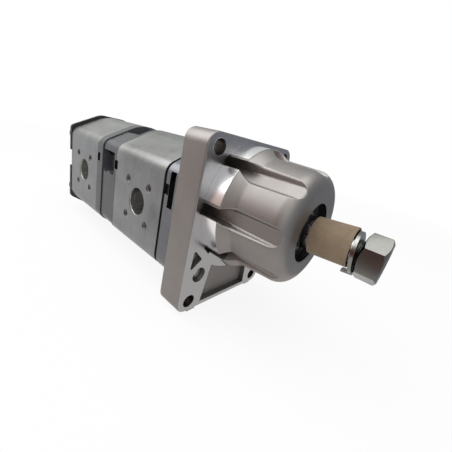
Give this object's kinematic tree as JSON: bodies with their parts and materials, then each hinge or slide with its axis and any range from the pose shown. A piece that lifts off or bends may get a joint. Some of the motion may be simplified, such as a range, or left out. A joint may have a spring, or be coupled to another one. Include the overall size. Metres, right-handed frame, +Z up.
{
  "type": "hydraulic gear pump",
  "caption": "Tandem external gear pump with a fluted front bearing housing on a rectangular flange, a taper drive shaft and flanged side ports",
  "frame": {"origin": "On the drive shaft's axis, in the plane of the flange's mounting face, from which the spigot stands out.", "axes": "+X runs along the drive shaft, out of the flange towards the nut. +Z is up; the driven gears lie below the drive shaft. -Y is the side of the suction ports, +Y the side of the pressure ports."},
  "size_m": [0.3051, 0.0906, 0.1164],
  "materials": {
    "cast_aluminium": "bead-blasted casting, machined on its flange face and spigot",
    "cover_aluminium": "satin, sawn and milled",
    "body_aluminium": "satin extrusion",
    "dark_iron": "dark, fine cast grain",
    "black_rubber": "matt",
    "block_alloy": "turned",
    "bush_bronze": "turned",
    "ground_steel": "ground",
    "dark_steel": "phosphated",
    "gear_steel": "ground and hardened",
    "bearing_steel": "polished",
    "cage_brass": "turned",
    "zinc_steel": "zinc-plated, bright",
    "black_oxide_steel": "black oxide",
    "cardboard": "wound kraft board, matt"
  },
  "bodies": {
    "housing": {"front_housing": "cast_aluminium", "front_cover": "cover_aluminium", "front_gasket": "black_rubber", "front_pump_body": "body_aluminium", "connecting_flange": "cover_aluminium", "rear_pump_body": "body_aluminium", "rear_cover": "dark_iron", "front_stage_front_block": "block_alloy", "front_stage_rear_block": "block_alloy", "rear_stage_front_block": "block_alloy", "rear_stage_rear_block": "block_alloy", "front_stage_bushes": "bush_bronze", "rear_stage_bushes": "bush_bronze", "front_stage_field_seals": "black_rubber", "rear_stage_field_seals": "black_rubber", "body_face_seals": "black_rubber", "shaft_seal": "black_rubber", "connecting_shaft_seal": "black_rubber", "outer_bearing_outer_race": "bearing_steel", "inner_bearing_outer_race": "bearing_steel", "bearing_shields": "black_rubber", "bearing_spacer": "ground_steel", "bearing_snap_ring": "dark_steel", "tie_bolts": "black_oxide_steel", "tie_washers": "zinc_steel", "dowel_pins": "ground_steel"},
    "drive": {"input_shaft": "ground_steel", "shaft_key": "dark_steel", "shipping_sleeve": "cardboard", "tab_washer": "zinc_steel", "shaft_nut": "zinc_steel", "shaft_rings": "dark_steel", "front_coupling": "dark_steel", "front_drive_gear": "gear_steel", "rear_coupling": "dark_steel", "rear_drive_gear": "gear_steel", "outer_bearing_inner_race": "bearing_steel", "inner_bearing_inner_race": "bearing_steel"},
    "front_driven": {"front_driven_gear": "gear_steel"},
    "rear_driven": {"rear_driven_gear": "gear_steel"},
    "outer_cage": {"outer_bearing_balls": "bearing_steel", "outer_bearing_cage": "cage_brass"},
    "inner_cage": {"inner_bearing_balls": "bearing_steel", "inner_bearing_cage": "cage_brass"}
  },
  "joints": [
    {"name": "drive_spin", "type": "hinge", "parent": "housing", "child": "drive", "pos_m": [0, 0, 0], "axis": [1, 0, 0], "continuous": true},
    {"name": "front_driven_spin", "type": "hinge", "parent": "housing", "child": "front_driven", "pos_m": [0, 0, -0.036], "axis": [1, 0, 0], "continuous": true},
    {"name": "rear_driven_spin", "type": "hinge", "parent": "housing", "child": "rear_driven", "pos_m": [0, 0, -0.036], "axis": [1, 0, 0], "continuous": true},
    {"name": "outer_cage_spin", "type": "hinge", "parent": "housing", "child": "outer_cage", "pos_m": [0, 0, 0], "axis": [1, 0, 0], "continuous": true},
    {"name": "inner_cage_spin", "type": "hinge", "parent": "housing", "child": "inner_cage", "pos_m": [0, 0, 0], "axis": [1, 0, 0], "continuous": true}
  ],
  "couplings": [
    {"joint": "front_driven_spin", "follows": "drive_spin", "ratio": -1},
    {"joint": "rear_driven_spin", "follows": "drive_spin", "ratio": -1},
    {"joint": "outer_cage_spin", "follows": "drive_spin", "ratio": 0.39839},
    {"joint": "inner_cage_spin", "follows": "drive_spin", "ratio": 0.39839}
  ]
}
